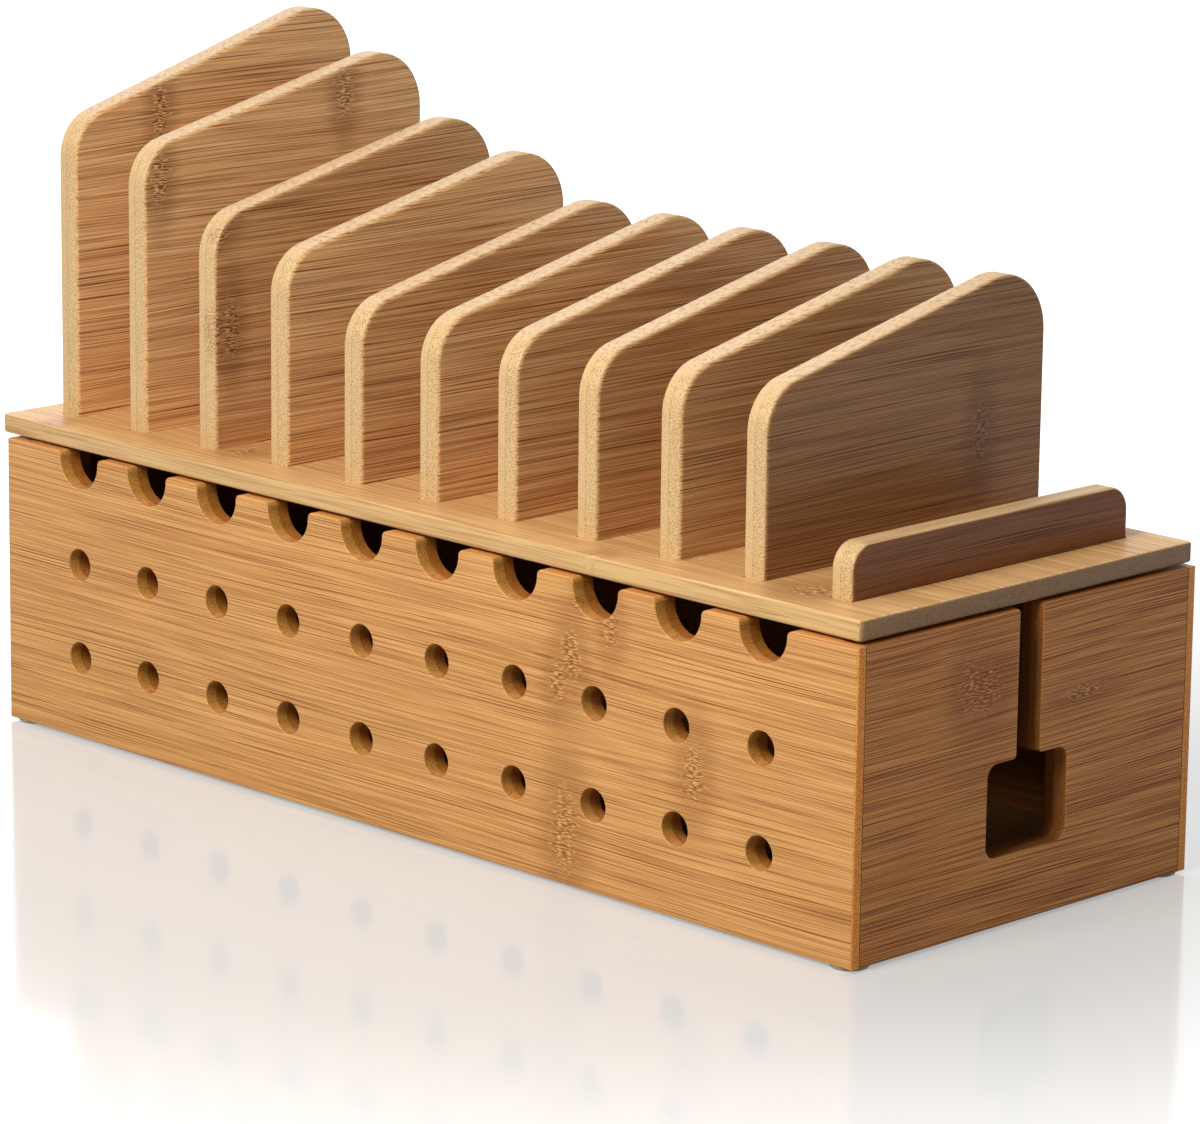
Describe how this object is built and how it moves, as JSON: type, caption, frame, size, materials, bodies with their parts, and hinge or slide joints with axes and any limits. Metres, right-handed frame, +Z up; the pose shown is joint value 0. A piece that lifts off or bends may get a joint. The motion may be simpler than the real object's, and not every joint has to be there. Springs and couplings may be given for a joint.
{
  "type": "charging station organizer",
  "caption": "Bamboo charging station box with notched, vented front, keyhole cord outlet and lift-off lid carrying a row of sloped dividers and a low stop.",
  "frame": {"origin": "middle of the whole footprint, at the level of the surface that the feet stand on", "axes": "+X along the length towards the end with the keyhole cord outlet, +Y towards the plain back wall so that the notched front faces -Y, +Z up"},
  "size_m": [0.4258, 0.166, 0.2538],
  "materials": {
    "bamboo_wall": "satin lacquer on golden bamboo",
    "bamboo_end_wall": "satin lacquer on golden bamboo",
    "bamboo_lid": "satin lacquer on golden bamboo",
    "bamboo_divider": "satin lacquer on brown bamboo",
    "bamboo_inside": "raw sanded bamboo",
    "clear_bumper": "milky soft rubber",
    "screw_steel": "zinc-plated wood screw"
  },
  "bodies": {
    "box": {"front_panel": "bamboo_wall", "back_panel": "bamboo_wall", "left_end_panel": "bamboo_end_wall", "right_end_panel": "bamboo_end_wall", "bottom_board": "bamboo_inside", "corner_block_front_left": "bamboo_inside", "corner_block_front_right": "bamboo_inside", "corner_block_back_left": "bamboo_inside", "corner_block_back_right": "bamboo_inside", "foot_front_left": "clear_bumper", "foot_front_right": "clear_bumper", "foot_back_left": "clear_bumper", "foot_back_right": "clear_bumper", "lid_pads": "clear_bumper"},
    "lid": {"lid_plate": "bamboo_lid", "divider_01": "bamboo_divider", "divider_02": "bamboo_divider", "divider_03": "bamboo_divider", "divider_04": "bamboo_divider", "divider_05": "bamboo_divider", "divider_06": "bamboo_divider", "divider_07": "bamboo_divider", "divider_08": "bamboo_divider", "divider_09": "bamboo_divider", "divider_10": "bamboo_divider", "end_stop": "bamboo_divider", "left_cleat": "bamboo_inside", "right_cleat": "bamboo_inside", "divider_screws": "screw_steel", "cleat_screws": "screw_steel"}
  },
  "joints": [
    {"name": "lid_lift", "type": "slide", "parent": "box", "child": "lid", "axis": [0, 0, 1], "range_m": [0, 0.15]}
  ]
}
